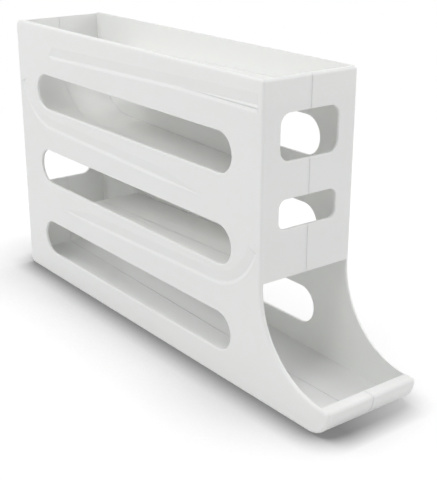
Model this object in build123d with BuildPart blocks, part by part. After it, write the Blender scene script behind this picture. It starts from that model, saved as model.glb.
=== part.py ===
from build123d import *
from collections import namedtuple
from math import asin, cos, degrees, radians, sin, tan
import os

# Rolling egg dispenser: two half shells that meet on the plane Y = 0.
# X runs from the back wall to the tray, Y across the width, Z up from the surface it stands on.
# Lengths are in millimetres and angles in degrees.

# Body
body_length = 306.0
body_width = 74.8
wall = 2.4

# Lanes of eggs, one above another, each level with a pair of side slots
lowest_lane_level = 33.4
lane_pitch = 60.2
rim_rise = 51.2

# Tray, lip and side outline
tray_reach = 63.5
cheek_flat = 5.5
lip_height = 19.0
lip_width = 9.5
back_corner_radius = 6.0

# Side slots
slot_height = 27.0
slot_back_margin = 29.8
slot_front_margin = 29.2

# Windows in the end walls and the mouth under the front wall, with the heights of their middles
# (of its upper edge, for the mouth) above the middle of the lane beside them
window_width = 46.8
upper_window_height = 29.6
upper_window_rise = 14.8
upper_window_radius = 7.5
lower_window_height = 19.2
lower_window_rise = 27.0
lower_window_radius = 5.5
back_window_height = 29.6
back_window_rise = -9.8
back_window_radius = 7.5
mouth_rise = 45.6

# Ramps: each starts at one end wall and stops short of the other one by its gap. The free end's
# top face rises this much above the middle of the lane below the ramp
ramp_slope = 1.5
ramp_thickness = 2.4
guide_radius = 47.0
guide_turn = 80.0
top_ramp_rise = 28.1
top_ramp_gap = 47.6
middle_ramp_rise = 26.7
middle_ramp_gap = 53.6
lower_ramp_rise = 28.2
lower_ramp_gap = 53.6

# Pegs and sockets that locate the two halves on each other
peg_diameter = 3.0
peg_length = 5.0
peg_tip_bevel = 0.4
peg_clearance = 0.1
socket_spare_depth = 0.6
boss_wall = 1.5
boss_end_wall = 3.4
free_end_peg_inset = 20.0
wall_end_peg_inset = 22.0
base_peg_inset = 16.0

# Edges
outer_edge_radius = 1.8
corner_margin = 0.4
mouth_edge_radius = 0.8
slot_edge_radius = 0.6
window_edge_radius = 0.6
seam_groove = 0.1

# Shallow sink lines outside, where the ramps meet the side walls and the back wall
sink_depth = 0.9
sink_upper_width = 7.0
second_sink_upper_width = 1.0
sink_lower_width = 2.2
sink_corner_clearance = 5.0
top_sink_fade = 6.0
guided_sink_fade = 50.0
second_sink_length = 85.0
second_sink_drop = 2.6
back_sink_depth = 0.6
back_sink_radius = 45.0

# Worked out from the sizes above
middle_lane_level = lowest_lane_level + lane_pitch
top_lane_level = middle_lane_level + lane_pitch
lane_levels = (lowest_lane_level, middle_lane_level, top_lane_level)
body_height = top_lane_level + rim_rise
mouth_height = lowest_lane_level + mouth_rise
upper_window_level = top_lane_level + upper_window_rise
lower_window_level = middle_lane_level + lower_window_rise
back_window_level = middle_lane_level + back_window_rise
total_length = body_length + tray_reach
back_x = -total_length / 2
front_x = back_x + body_length
toe_x = back_x + total_length
half_width = body_width / 2
inner_half_width = half_width - wall
inner_back_x = back_x + wall
inner_front_x = front_x - wall
inner_length = inner_front_x - inner_back_x
slope = radians(ramp_slope)
outer_edge_round = min(outer_edge_radius, 3 / 4 * wall)
mouth_edge_round = min(mouth_edge_radius, wall / 3)
slot_edge_round = min(slot_edge_radius, wall / 4)
window_edge_round = min(window_edge_radius, wall / 4)
corner_radius = outer_edge_round + corner_margin
lip_top_radius = corner_radius
cheek_sweep_radius = tray_reach - cheek_flat
toe_radius = lip_height - lip_top_radius
lip_inner_x = toe_x - lip_width
tray_floor_radius = toe_radius - wall
tray_centre_x = lip_inner_x - tray_floor_radius
slot_length = body_length - slot_back_margin - slot_front_margin
slot_centre_x = back_x + slot_back_margin + slot_length / 2
base_back_level = wall + (front_x - inner_back_x) * tan(slope)
peg_radius = peg_diameter / 2
boss_length = peg_length + socket_spare_depth + boss_end_wall
boss_radius = peg_radius + boss_wall
base_peg_level = base_back_level - base_peg_inset * tan(slope) - wall / 2 - boss_radius
base_peg_point = (inner_back_x + base_peg_inset, base_peg_level)
wall_clearance = sink_corner_clearance - wall
tangent = guide_radius * (1 - sin(slope))

# A ramp hangs on the end wall at wall_x and runs along its heading (1 towards the tray, -1 away
# from it) to its free end, a distance from the wall, where its top face is at the level
Ramp = namedtuple("Ramp", "wall_x heading free level")
nose_radius = ramp_thickness / 2
top_free = inner_length - top_ramp_gap - nose_radius
middle_free = inner_length - middle_ramp_gap - nose_radius
lower_free = inner_length - lower_ramp_gap - nose_radius
top_ramp = Ramp(inner_front_x, -1, top_free, top_lane_level + top_ramp_rise)
middle_ramp = Ramp(inner_back_x, 1, middle_free, middle_lane_level + middle_ramp_rise)
lower_ramp = Ramp(inner_front_x, -1, lower_free, lowest_lane_level + lower_ramp_rise)

# Sink lines: the ramp, the distance from its end wall at which the straight run ends, and the fade
sink_lines = (
    (top_ramp, wall_clearance, top_sink_fade),
    (middle_ramp, tangent, guided_sink_fade),
    (lower_ramp, tangent, guided_sink_fade),
)

# Windows: the X where each one's wall starts, then its level, height and corner radius
windows = (
    (inner_front_x, upper_window_level, upper_window_height, upper_window_radius),
    (inner_front_x, lower_window_level, lower_window_height, lower_window_radius),
    (back_x, back_window_level, back_window_height, back_window_radius),
)

os.makedirs("parts", exist_ok=True)


def on_ramp(ramp, distance, depth=0.0):
    # Point at a distance from the end wall and a depth under the ramp's top face
    x = ramp.wall_x + ramp.heading * (distance - depth * sin(slope))
    z = ramp.level + (ramp.free - distance) * tan(slope) - depth * cos(slope)
    return (x, z)


def guide_level(ramp):
    # Height of the centre of the curve that touches the end wall and the ramp's top face
    return ramp.level + (ramp.free - guide_radius) * tan(slope) + guide_radius / cos(slope)


def on_guide(ramp, angle, radius):
    # Point on the curved guide, its angle counted from straight down towards the end wall
    along = guide_radius - radius * sin(radians(angle))
    return (ramp.wall_x + ramp.heading * along, guide_level(ramp) - radius * cos(radians(angle)))


def plain_section(ramp):
    # A straight ramp with a rounded free end
    nose_tip = on_ramp(ramp, ramp.free + nose_radius * cos(slope), nose_radius)
    with BuildSketch(Plane.XZ) as section:
        with BuildLine():
            top = Line(on_ramp(ramp, 0), on_ramp(ramp, ramp.free))
            nose = ThreePointArc(top @ 1, nose_tip, on_ramp(ramp, ramp.free, ramp_thickness))
            under = Line(nose @ 1, on_ramp(ramp, ramp_thickness * sin(slope), ramp_thickness))
            Line(under @ 1, top @ 0)
        make_face()
    return section.sketch


def guided_section(ramp):
    # A ramp whose wall end turns up into a curve that the end wall closes off
    outer_radius = guide_radius + ramp_thickness
    outer_turn = degrees(asin(guide_radius / outer_radius))
    guide_end = on_guide(ramp, guide_turn, guide_radius)
    guide_middle = on_guide(ramp, (ramp_slope + guide_turn) / 2, guide_radius)
    under_middle = on_guide(ramp, (ramp_slope + outer_turn) / 2, outer_radius)
    nose_tip = on_ramp(ramp, ramp.free + nose_radius * cos(slope), nose_radius)
    with BuildSketch(Plane.XZ) as section:
        with BuildLine():
            top = Line(on_ramp(ramp, ramp.free), on_guide(ramp, ramp_slope, guide_radius))
            guide = ThreePointArc(top @ 1, guide_middle, guide_end)
            ledge = Line(guide @ 1, (ramp.wall_x, guide_end[1]))
            foot = Line(ledge @ 1, on_guide(ramp, outer_turn, outer_radius))
            back = ThreePointArc(foot @ 1, under_middle, on_guide(ramp, ramp_slope, outer_radius))
            under = Line(back @ 1, on_ramp(ramp, ramp.free, ramp_thickness))
            ThreePointArc(under @ 1, nose_tip, top @ 0)
        make_face()
    return section.sketch


def sink_section(ramp, distance, upper_width=sink_upper_width):
    # A shallow V across the outside: its lower flank is centred on the ramp's top face
    x, z = on_ramp(ramp, distance, -sink_lower_width / 2)
    along_ramp = (-cos(slope), 0, ramp.heading * sin(slope))
    with BuildSketch(Plane((x, -half_width, z), x_dir=(0, -1, 0), z_dir=along_ramp)) as section:
        upper = (sink_depth, 2 * upper_width)
        lower = (sink_depth, -2 * sink_lower_width)
        with BuildLine():
            Polyline((-sink_depth, 0), upper, lower, close=True)
        make_face()
    return section.sketch


def towards_wall(ramp):
    # Direction up a ramp, from its free end to its end wall
    return Vector(-ramp.heading * cos(slope), 0, sin(slope))


def add_peg(point):
    # A peg across the seam, rooted in the left half's boss, with a bevelled tip
    with BuildSketch(Plane.XZ.offset(peg_tip_bevel - peg_length)) as shoulder:
        with Locations(point):
            Circle(peg_radius)
    extrude(shoulder.sketch, 2 * peg_length - peg_tip_bevel)
    extrude(shoulder.sketch, -peg_tip_bevel, taper=45)


def cut_socket(point):
    # The hole in the right half's boss that takes the peg
    with BuildSketch(Plane.XZ) as mouth:
        with Locations(point):
            Circle(peg_radius + peg_clearance)
    extrude(mouth.sketch, -peg_length - socket_spare_depth, mode=Mode.SUBTRACT)


# Side view of a half shell: body, hollow sweep down to the tray, lip and rounded toe
with BuildSketch(Plane.XZ) as outline:
    with BuildLine():
        bottom_line = Line((back_x, 0), (toe_x - toe_radius, 0))
        toe_arc = RadiusArc(bottom_line @ 1, (toe_x, toe_radius), -toe_radius)
        lip_arc = RadiusArc(toe_arc @ 1, (toe_x - lip_top_radius, lip_height), -lip_top_radius)
        cheek_top = Line(lip_arc @ 1, (front_x + cheek_sweep_radius, lip_height))
        sweep_top = (front_x, lip_height + cheek_sweep_radius)
        sweep_arc = RadiusArc(cheek_top @ 1, sweep_top, cheek_sweep_radius)
        front_line = Line(sweep_arc @ 1, (front_x, body_height))
        top_line = Line(front_line @ 1, (back_x, body_height))
        Line(top_line @ 1, bottom_line @ 0)
    make_face()
    fillet(outline.vertices().group_by(Axis.X)[0], back_corner_radius)
    fillet(outline.vertices().group_by(Axis.Y)[-1].sort_by(Axis.X)[-1], corner_radius)

# Lip in side view: a hollow curve up from the tray's floor, then a rounded top
with BuildSketch(Plane.XZ) as lip_section:
    with BuildLine():
        foot_end = (lip_inner_x, toe_radius)
        foot = RadiusArc((tray_centre_x, wall), foot_end, -tray_floor_radius)
        brow_end = (lip_inner_x + lip_top_radius, lip_height)
        brow = RadiusArc(foot @ 1, brow_end, lip_top_radius)
        Polyline(brow @ 1, (toe_x, lip_height), (toe_x, 0), (tray_centre_x, 0), foot @ 0)
    make_face()

# Back wall, front wall and floor, trimmed to the side view
with BuildSketch(Plane.XZ) as web_section:
    with Locations((back_x, 0)):
        Rectangle(wall, body_height, align=(Align.MIN, Align.MIN))
    with Locations((inner_front_x, mouth_height)):
        Rectangle(wall, body_height - mouth_height, align=(Align.MIN, Align.MIN))
    with BuildLine():
        Polyline(
            (inner_back_x, base_back_level),
            (front_x, wall),
            (tray_centre_x, wall),
            (tray_centre_x, 0),
            (front_x, 0),
            (inner_back_x, base_back_level - wall),
            close=True,
        )
    make_face()
    add(lip_section.sketch_local)
    add(outline.sketch_local, mode=Mode.INTERSECT)

# Hollow inside the lip, open only at the seam, so that its walls are as thin as the rest
with BuildSketch(Plane.XZ) as lip_core:
    with Locations((toe_x - toe_radius, toe_radius)):
        Circle(toe_radius - wall)
    with Locations((tray_centre_x, toe_radius)):
        Circle(tray_floor_radius + wall, mode=Mode.SUBTRACT)
    with Locations((tray_centre_x, 2 * wall)):
        core_height = lip_height - 3 * wall
        Rectangle(total_length, core_height, align=(Align.MIN, Align.MIN), mode=Mode.INTERSECT)

# What both halves share, made as the left one: from the seam at Y = 0 out to the side wall
with BuildPart() as half_shell:
    # Side wall, with its outer edge rounded all the way round
    with BuildSketch(Plane.XZ.offset(inner_half_width)):
        add(outline.sketch_local)
    extrude(amount=wall)
    fillet(half_shell.faces().sort_by(Axis.Y)[0].edges(), outer_edge_round)

    # Back wall, front wall, floor and lip
    with BuildSketch(Plane.XZ):
        add(web_section.sketch_local)
    extrude(amount=inner_half_width)
    with BuildSketch(Plane.XZ):
        add(lip_core.sketch_local)
    extrude(amount=inner_half_width, mode=Mode.SUBTRACT)

    # Side slots
    with BuildSketch(Plane.XZ.offset(inner_half_width)):
        with Locations([(slot_centre_x, level) for level in lane_levels]):
            SlotOverall(slot_length, slot_height)
    extrude(amount=wall, mode=Mode.SUBTRACT)
    slot_edges = half_shell.edges(Select.LAST)
    fillet(slot_edges.filter_by(Axis.Y, reverse=True), slot_edge_round)

    # Windows, each cut half by this shell
    for wall_x, level, height, radius in windows:
        with BuildSketch(Plane.YZ.offset(wall_x)):
            with Locations((0, level)):
                RectangleRounded(window_width, height, radius)
        extrude(amount=wall, mode=Mode.SUBTRACT)
        window_edges = half_shell.edges(Select.LAST).filter_by(Axis.X, reverse=True)
        window_edges = window_edges.filter_by(lambda edge: edge.center().Y < -seam_groove)
        fillet(window_edges, window_edge_round)

    # Rounded lower edge of the front wall, over the mouth
    mouth_edges = half_shell.edges().filter_by(Axis.Y).filter_by_position(
        Axis.Z, mouth_height - wall / 4, mouth_height + wall / 4
    )
    fillet(mouth_edges, mouth_edge_round)

    # Fine groove along the seam
    with BuildSketch(Plane.XZ):
        add(web_section.sketch_local)
        offset(web_section.sketch_local, amount=-seam_groove, mode=Mode.SUBTRACT)
    extrude(amount=seam_groove, mode=Mode.SUBTRACT)

    # Boss under the back of the floor
    with BuildSketch(Plane.XZ):
        with Locations(base_peg_point):
            Circle(boss_radius)
    extrude(amount=boss_length)

    # Sink lines: each fades in from the free end and follows its ramp to the end wall
    for ramp, start, fade in sink_lines:
        section = sink_section(ramp, ramp.free - fade)
        length = (ramp.free - fade - start) / cos(slope)
        extrude(section, length, dir=towards_wall(ramp), mode=Mode.SUBTRACT)
        fade_out = Vector(ramp.heading * fade, -sink_depth, -fade * tan(slope))
        extrude(section, fade_out.length, dir=fade_out, mode=Mode.SUBTRACT)
    for ramp in (middle_ramp, lower_ramp):
        section = sink_section(ramp, tangent)
        centre = (ramp.wall_x + ramp.heading * guide_radius, -half_width, guide_level(ramp))
        turn = degrees(asin(1 - wall_clearance / guide_radius)) - ramp_slope
        revolve(section, Axis(centre, (0, ramp.heading, 0)), turn, mode=Mode.SUBTRACT)

    # Second sink line, which parts from the top ramp's line and drops away from it to the front
    section = sink_section(top_ramp, second_sink_length, second_sink_upper_width)
    run = second_sink_length - wall_clearance
    parting = Vector(-top_ramp.heading * run, 0, run * tan(slope) - second_sink_drop)
    extrude(section, parting.length, dir=parting, mode=Mode.SUBTRACT)

    # Shallow hollow across the back, where the middle ramp's guide meets the wall
    back_sink_x = back_x + back_sink_depth - back_sink_radius
    with BuildSketch(Plane.XZ):
        with Locations((back_sink_x, on_guide(middle_ramp, guide_turn, guide_radius)[1])):
            Circle(back_sink_radius)
    extrude(amount=half_width, mode=Mode.SUBTRACT)

# Left shell: the near one when the tray is on the right, with a peg on its floor boss
with BuildPart() as left_shell:
    add(half_shell.part)
    add_peg(base_peg_point)
left_shell.part.label = "left_shell"
export_step(left_shell.part, "parts/left_shell.step")

# Right shell: its mirror image, with the socket
with BuildPart() as right_shell:
    mirror(half_shell.part, about=Plane.XZ)
    cut_socket(base_peg_point)
right_shell.part.label = "right_shell"
export_step(right_shell.part, "parts/right_shell.step")

# Half ramps: each reaches from the seam to the inner face of its shell's side wall
ramp_halves = (
    ("top_ramp", top_ramp, plain_section(top_ramp), wall_end_peg_inset),
    ("middle_ramp", middle_ramp, guided_section(middle_ramp), guide_radius + wall_end_peg_inset),
    ("lower_ramp", lower_ramp, guided_section(lower_ramp), guide_radius + wall_end_peg_inset),
)
for name, ramp, section, first_peg in ramp_halves:
    peg_points = [
        on_ramp(ramp, first_peg, nose_radius + boss_radius),
        on_ramp(ramp, ramp.free - free_end_peg_inset, nose_radius + boss_radius),
    ]
    with BuildPart() as half_ramp:
        extrude(section, inner_half_width)
        with BuildSketch(Plane.XZ):
            with Locations(peg_points):
                Circle(boss_radius)
        extrude(amount=boss_length)

    with BuildPart() as left_ramp:
        add(half_ramp.part)
        for point in peg_points:
            add_peg(point)
    left_ramp.part.label = f"left_{name}"
    export_step(left_ramp.part, f"parts/left_{name}.step")

    with BuildPart() as right_ramp:
        mirror(half_ramp.part, about=Plane.XZ)
        for point in peg_points:
            cut_socket(point)
    right_ramp.part.label = f"right_{name}"
    export_step(right_ramp.part, f"parts/right_{name}.step")
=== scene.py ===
import math

import bpy
from mathutils import Matrix, Vector

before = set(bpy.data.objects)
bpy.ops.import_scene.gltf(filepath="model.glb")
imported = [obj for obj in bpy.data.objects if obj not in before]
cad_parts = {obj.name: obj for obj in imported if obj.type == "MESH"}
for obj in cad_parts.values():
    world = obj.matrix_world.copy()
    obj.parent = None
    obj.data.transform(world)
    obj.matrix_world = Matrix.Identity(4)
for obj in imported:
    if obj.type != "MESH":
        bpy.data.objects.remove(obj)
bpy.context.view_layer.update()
print("egg dispenser: CAD nodes loaded:", len(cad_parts))


def newMaterial(name):
    material = bpy.data.materials.new(name)
    material.use_nodes = True
    tree = material.node_tree
    tree.nodes.clear()
    output = tree.nodes.new("ShaderNodeOutputMaterial")
    return material, tree, output


def addNode(tree, kind, **settings):
    node = tree.nodes.new(kind)
    for key, value in settings.items():
        setattr(node, key, value)
    return node


# moulded plastic: white and slightly see-through at the skin, satin, with the marks of the mould
# and of use: tone drift where it flowed in, cloudy gloss, polished edges that carry a painted
# highlight, rub lines on what faces up
shellPlastic = {
    "colour": (0.89, 0.90, 0.89, 1.0),
    "warmColour": (0.89, 0.875, 0.845, 1.0),
    # painted highlight: a lighter colour laid along sharp edges
    "paintedEdgeHighlight": (0.94, 0.945, 0.94, 1.0),
    "warmth": 0.12,                 # share of the warm colour, about which the tone drifts
    "toneDrift": 0.12,
    "paintedHighlightShare": 0.9,                # share of the painted edge highlight at a sharp edge
    "roughness": (0.32, 0.36),      # cloudy gloss, least and most
    "polish": 0.10,                 # how much smoother edges are
    "rubRoughness": 0.09,           # how much duller rub lines are
    "specular": 0.5,
    "subsurface": 0.25,
    "subsurfaceRadius": (1.0, 1.0, 0.85),
    "subsurfaceScale": 0.003,       # metres
    "edgeRadius": 0.0008,           # eased edges, metres
    "edgeSamples": 6,
    "edgeRange": (1.0, 0.975),      # cosine of the easing: no edge, full edge
    "noiseDetail": 2.0,
    "flowScale": (7.0, 7.0, 11.0),  # broad drift across a wall
    "flowRange": (0.3, 0.7),        # noise values between which it changes
    "cloudScale": 16.0,
    "cloudRange": (0.35, 0.65),
    "rubScale": (5.0, 420.0, 90.0),
    "rubRange": (0.52, 0.64),
    "rubLevel": (0.7, 0.95),        # how level a face is: no rub lines, full rub lines
    "rubBump": (0.04, 0.0003),      # strength, metres
    "grainScale": 1500.0,           # fine spark-eroded grain of the mould
    "grainBump": (0.05, 0.0003),
    "waveScale": 24.0,              # long gentle unevenness that bends reflections
    "waveDetail": 1.0,
    "waveBump": (0.07, 0.001),
}

# the ramps are the same plastic, a little warmer and more rubbed than the walls
rampPlastic = dict(
    shellPlastic,
    warmth=0.35,
    roughness=(0.34, 0.38),
    rubRoughness=0.14,
    rubBump=(0.07, 0.0003),
)


def addNoise(tree, place, scale, detail):
    stretch = addNode(tree, "ShaderNodeMapping")
    stretch.inputs["Scale"].default_value = scale if isinstance(scale, tuple) else (scale,) * 3
    tree.links.new(place, stretch.inputs["Vector"])
    noise = addNode(tree, "ShaderNodeTexNoise")
    noise.inputs["Scale"].default_value = 1.0
    noise.inputs["Detail"].default_value = detail
    tree.links.new(stretch.outputs["Vector"], noise.inputs["Vector"])
    return noise.outputs["Fac"]


def addRange(tree, value, given, wanted, easing="LINEAR"):
    # the given range of the value is spread over the wanted one, and held at both ends
    spread = addNode(tree, "ShaderNodeMapRange", interpolation_type=easing)
    spread.inputs["From Min"].default_value, spread.inputs["From Max"].default_value = given
    spread.inputs["To Min"].default_value, spread.inputs["To Max"].default_value = wanted
    tree.links.new(value, spread.inputs["Value"])
    return spread.outputs["Result"]


def addMath(tree, operation, *terms):
    # each term is a number or another node's output
    result = addNode(tree, "ShaderNodeMath", operation=operation)
    for socket, term in zip(result.inputs, terms):
        if isinstance(term, float):
            socket.default_value = term
        else:
            tree.links.new(term, socket)
    return result.outputs["Value"]


def addMix(tree, share, first, second):
    # each colour is a tuple or another node's output
    mix = addNode(tree, "ShaderNodeMix", data_type="RGBA")
    tree.links.new(share, mix.inputs["Factor"])
    for socket, colour in ((mix.inputs["A"], first), (mix.inputs["B"], second)):
        if isinstance(colour, tuple):
            socket.default_value = colour
        else:
            tree.links.new(colour, socket)
    return mix.outputs["Result"]


def addBump(tree, relief, bump, normal):
    node = addNode(tree, "ShaderNodeBump")
    node.inputs["Strength"].default_value, node.inputs["Distance"].default_value = bump
    tree.links.new(relief, node.inputs["Height"])
    tree.links.new(normal, node.inputs["Normal"])
    return node.outputs["Normal"]


def makePlastic(name, spec):
    material, tree, output = newMaterial(name)
    link = tree.links.new
    place = addNode(tree, "ShaderNodeTexCoord").outputs["Object"]
    face = addNode(tree, "ShaderNodeNewGeometry").outputs["Normal"]
    flow = addNoise(tree, place, spec["flowScale"], spec["noiseDetail"])
    cloud = addNoise(tree, place, spec["cloudScale"], spec["noiseDetail"])
    rub = addNoise(tree, place, spec["rubScale"], spec["noiseDetail"])
    grain = addNoise(tree, place, spec["grainScale"], spec["noiseDetail"])
    wave = addNoise(tree, place, spec["waveScale"], spec["waveDetail"])

    # eased edges, and a mask of where they are
    easing = addNode(tree, "ShaderNodeBevel", samples=spec["edgeSamples"])
    easing.inputs["Radius"].default_value = spec["edgeRadius"]
    eased = easing.outputs["Normal"]
    agreement = addNode(tree, "ShaderNodeVectorMath", operation="DOT_PRODUCT")
    link(eased, agreement.inputs[0])
    link(face, agreement.inputs[1])
    edge = addRange(tree, agreement.outputs["Value"], spec["edgeRange"], (0.0, 1.0))

    # rub lines run lengthwise and only on what faces up
    direction = addNode(tree, "ShaderNodeSeparateXYZ")
    link(face, direction.inputs["Vector"])
    level = addRange(tree, direction.outputs["Z"], spec["rubLevel"], (0.0, 1.0))
    rubLine = addMath(tree, "MULTIPLY", addRange(tree, rub, spec["rubRange"], (0.0, 1.0)), level)

    # colour: the drifting body tone, and a painted highlight along sharp edges
    leastWarm = max(0.0, spec["warmth"] - spec["toneDrift"])
    mostWarm = spec["warmth"] + spec["toneDrift"]
    warmShare = addRange(tree, flow, spec["flowRange"], (leastWarm, mostWarm))
    body = addMix(tree, warmShare, spec["colour"], spec["warmColour"])
    # painted highlight: the edge mask lays a lighter colour on sharp edges
    paintedHighlightAmount = addMath(tree, "MULTIPLY", edge, spec["paintedHighlightShare"])
    colour = addMix(tree, paintedHighlightAmount, body, spec["paintedEdgeHighlight"])

    # gloss
    cloudy = addRange(tree, cloud, spec["cloudRange"], spec["roughness"])
    polished = addMath(tree, "SUBTRACT", cloudy, addMath(tree, "MULTIPLY", edge, spec["polish"]))
    dull = addMath(tree, "MULTIPLY", rubLine, spec["rubRoughness"])
    roughness = addMath(tree, "ADD", polished, dull)

    # relief
    normal = addBump(tree, wave, spec["waveBump"], eased)
    normal = addBump(tree, rubLine, spec["rubBump"], normal)
    normal = addBump(tree, grain, spec["grainBump"], normal)

    plastic = addNode(tree, "ShaderNodeBsdfPrincipled")
    plastic.inputs["Specular IOR Level"].default_value = spec["specular"]
    plastic.inputs["Subsurface Weight"].default_value = spec["subsurface"]
    plastic.inputs["Subsurface Radius"].default_value = spec["subsurfaceRadius"]
    plastic.inputs["Subsurface Scale"].default_value = spec["subsurfaceScale"]
    link(colour, plastic.inputs["Base Color"])
    link(roughness, plastic.inputs["Roughness"])
    link(normal, plastic.inputs["Normal"])
    link(plastic.outputs["BSDF"], output.inputs["Surface"])
    return material


shellWhite = makePlastic("shellWhite", shellPlastic)
rampWhite = makePlastic("rampWhite", rampPlastic)
for name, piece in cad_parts.items():
    finish = rampWhite if name.endswith("_ramp") else shellWhite
    piece.data.materials.clear()
    piece.data.materials.append(finish)
print("moulded plastic set on", len(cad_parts), "pieces")

# camera at the photo's own view, matched to the body's straight edges
photoView = {
    "imageWidth": 437,              # pixels
    "focalLength": 1010.0,          # pixels
    "sensorWidth": 36.0,            # millimetres
    "place": (0.55569, -0.40166, 0.31747),
    "yaw": 52.58,                   # degrees to the left of straight across the width
    "pitch": 20.24,                 # degrees down
    "roll": 0.106,                  # degrees
    "reach": 50.0,                  # metres, beyond which nothing is drawn
}


def placeCamera(view):
    data = bpy.data.cameras.new("photoCamera")
    data.sensor_fit = "HORIZONTAL"
    data.sensor_width = view["sensorWidth"]
    data.lens = view["sensorWidth"] * view["focalLength"] / view["imageWidth"]
    data.clip_end = view["reach"]
    yaw, pitch, roll = (math.radians(view[key]) for key in ("yaw", "pitch", "roll"))
    level = Vector((-math.sin(yaw), math.cos(yaw), 0.0))
    ahead = level * math.cos(pitch) - Vector((0.0, 0.0, math.sin(pitch)))
    right = Vector((math.cos(yaw), math.sin(yaw), 0.0))
    up = right.cross(ahead)
    tiltedRight = right * math.cos(roll) + up * math.sin(roll)
    tiltedUp = up * math.cos(roll) - right * math.sin(roll)
    turn = Matrix((tiltedRight, tiltedUp, -ahead)).transposed().to_4x4()
    camera = bpy.data.objects.new("photoCamera", data)
    camera.matrix_world = Matrix.Translation(Vector(view["place"])) @ turn
    bpy.context.scene.collection.objects.link(camera)
    bpy.context.scene.camera = camera


placeCamera(photoView)
print("camera placed at the photo's view")


def whiteToCamera(tree, output, seen, lit):
    # the camera, a reflection and a see-through ray meet "seen", all other light meets "lit"
    rays = addNode(tree, "ShaderNodeLightPath").outputs
    direct = addMath(tree, "MAXIMUM", rays["Is Camera Ray"], rays["Is Glossy Ray"])
    anyOfThree = addMath(tree, "MAXIMUM", direct, rays["Is Transmission Ray"])
    mix = addNode(tree, "ShaderNodeMixShader")
    tree.links.new(anyOfThree, mix.inputs["Fac"])
    tree.links.new(lit, mix.inputs[1])
    tree.links.new(seen, mix.inputs[2])
    tree.links.new(mix.outputs["Shader"], output)


# studio sky: even light on the object, and plain white behind it
studioSky = {
    "colour": (1.0, 1.0, 1.0, 1.0),
    "strength": 0.47,               # what it throws on the object
    "seenStrength": 1.0,            # what is seen of it
}


def makeSky(spec):
    world = bpy.data.worlds.new("studioSky")
    bpy.context.scene.world = world
    world.use_nodes = True
    tree = world.node_tree
    tree.nodes.clear()
    output = tree.nodes.new("ShaderNodeOutputWorld")
    skies = []
    for strength in (spec["seenStrength"], spec["strength"]):
        sky = addNode(tree, "ShaderNodeBackground")
        sky.inputs["Color"].default_value = spec["colour"]
        sky.inputs["Strength"].default_value = strength
        skies.append(sky.outputs["Background"])
    whiteToCamera(tree, output.inputs["Surface"], *skies)


makeSky(studioSky)

# studio floor: wide, white, with the object's shadow and a soft contact shade near it
studioFloor = {
    "size": 12.0,                           # metres
    "litColour": (0.92, 0.92, 0.92, 1.0),   # what it throws back on to the object
    "seenColour": (0.22, 0.22, 0.22, 1.0),  # what is seen of it near the object
    "lift": 0.84,                           # added to what is seen, so the open floor is white
    "shadeColour": (0.0, 0.0, 0.0, 1.0),
    "wideShade": (0.085, 0.54),             # soft contact shade: reach in metres, tone left in it
    "coreShade": (0.020, 0.43),             # its dark core
    "shadeSamples": 16,
    "shadeRange": (0.5, 1.0),               # how open: at the foot of a wall, away from all walls
    "shadeFade": (-0.02, 0.07),             # the shade weakens across the width, metres
    "shadeBehind": 0.3,                     # share of it that is left behind the object
    "whiteFrom": (0.35, 0.75),              # plain white takes over between these distances, metres
    "whiteStrength": 1.0,
}


def addShade(tree, spec, reach, least):
    # 1 in the open, down to least at the foot of a wall
    contact = addNode(tree, "ShaderNodeAmbientOcclusion", samples=spec["shadeSamples"])
    contact.inputs["Distance"].default_value = reach
    return addRange(tree, contact.outputs["AO"], spec["shadeRange"], (least, 1.0))


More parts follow.
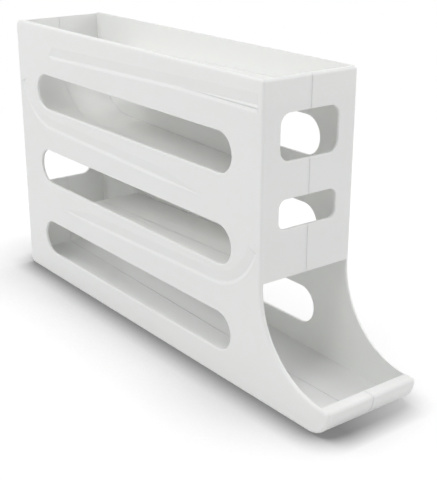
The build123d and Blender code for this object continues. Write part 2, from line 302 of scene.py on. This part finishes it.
def makeFloor(spec):
    half = spec["size"] / 2
    mesh = bpy.data.meshes.new("studioFloor")
    corners = [(-half, -half, 0), (half, -half, 0), (half, half, 0), (-half, half, 0)]
    mesh.from_pydata(corners, [], [(0, 1, 2, 3)])
    floor = bpy.data.objects.new("studioFloor", mesh)
    bpy.context.scene.collection.objects.link(floor)
    material, tree, output = newMaterial("studioFloorPaper")
    link = tree.links.new
    litPaper = addNode(tree, "ShaderNodeBsdfDiffuse")
    litPaper.inputs["Color"].default_value = spec["litColour"]

    # contact shade, full on the near side of the object and weaker behind it
    place = addNode(tree, "ShaderNodeNewGeometry").outputs["Position"]
    axes = addNode(tree, "ShaderNodeSeparateXYZ")
    link(place, axes.inputs["Vector"])
    wide = addShade(tree, spec, *spec["wideShade"])
    core = addShade(tree, spec, *spec["coreShade"])
    share = addRange(tree, axes.outputs["Y"], spec["shadeFade"], (1.0, spec["shadeBehind"]))
    weaker = addNode(tree, "ShaderNodeMix", data_type="FLOAT")
    weaker.inputs["A"].default_value = 1.0
    link(addMath(tree, "MULTIPLY", wide, core), weaker.inputs["B"])
    link(share, weaker.inputs["Factor"])
    shade = weaker.outputs["Result"]

    # near the object the floor shows the object's own shadow and the contact shade
    seenPaper = addNode(tree, "ShaderNodeBsdfDiffuse")
    link(addMix(tree, shade, spec["shadeColour"], spec["seenColour"]), seenPaper.inputs["Color"])
    lift = addNode(tree, "ShaderNodeEmission")
    link(addMath(tree, "MULTIPLY", shade, spec["lift"]), lift.inputs["Strength"])
    near = addNode(tree, "ShaderNodeAddShader")
    link(seenPaper.outputs["BSDF"], near.inputs[0])
    link(lift.outputs["Emission"], near.inputs[1])

    # further out it is plain white
    distance = addNode(tree, "ShaderNodeVectorMath", operation="LENGTH")
    link(place, distance.inputs[0])
    farOut = addRange(tree, distance.outputs["Value"], spec["whiteFrom"], (0.0, 1.0), "SMOOTHSTEP")
    white = addNode(tree, "ShaderNodeEmission")
    white.inputs["Strength"].default_value = spec["whiteStrength"]
    seen = addNode(tree, "ShaderNodeMixShader")
    link(farOut, seen.inputs["Fac"])
    link(near.outputs["Shader"], seen.inputs[1])
    link(white.outputs["Emission"], seen.inputs[2])
    whiteToCamera(tree, output.inputs["Surface"], seen.outputs["Shader"], litPaper.outputs["BSDF"])
    mesh.materials.append(material)


makeFloor(studioFloor)
print("studio sky and floor made")

# softboxes: two over the near side, one in front on the far side, one behind
softboxes = [
    # name, place, aim, size, watts
    ("keySoftbox", (-0.6, -0.65, 1.25), (0.0, 0.0, 0.1), 0.6, 4.7),
    ("topSoftbox", (0.2, -0.75, 1.35), (0.1, 0.0, 0.1), 0.5, 4.5),
    ("frontSoftbox", (0.9, 0.95, 0.8), (0.1, 0.0, 0.1), 0.8, 4.1),
    ("backSoftbox", (-0.2, 1.2, 0.6), (0.0, 0.0, 0.1), 0.8, 4.4),
]


def addSoftbox(name, place, aim, size, watts):
    data = bpy.data.lights.new(name, "AREA")
    data.shape = "SQUARE"
    data.size = size
    data.energy = watts
    lamp = bpy.data.objects.new(name, data)
    bpy.context.scene.collection.objects.link(lamp)
    lamp.location = place
    lamp.rotation_euler = (Vector(aim) - Vector(place)).to_track_quat("-Z", "Y").to_euler()


for softbox in softboxes:
    addSoftbox(*softbox)
bpy.context.scene.view_settings.view_transform = "Standard"
print("studio lit by", len(softboxes), "softboxes")
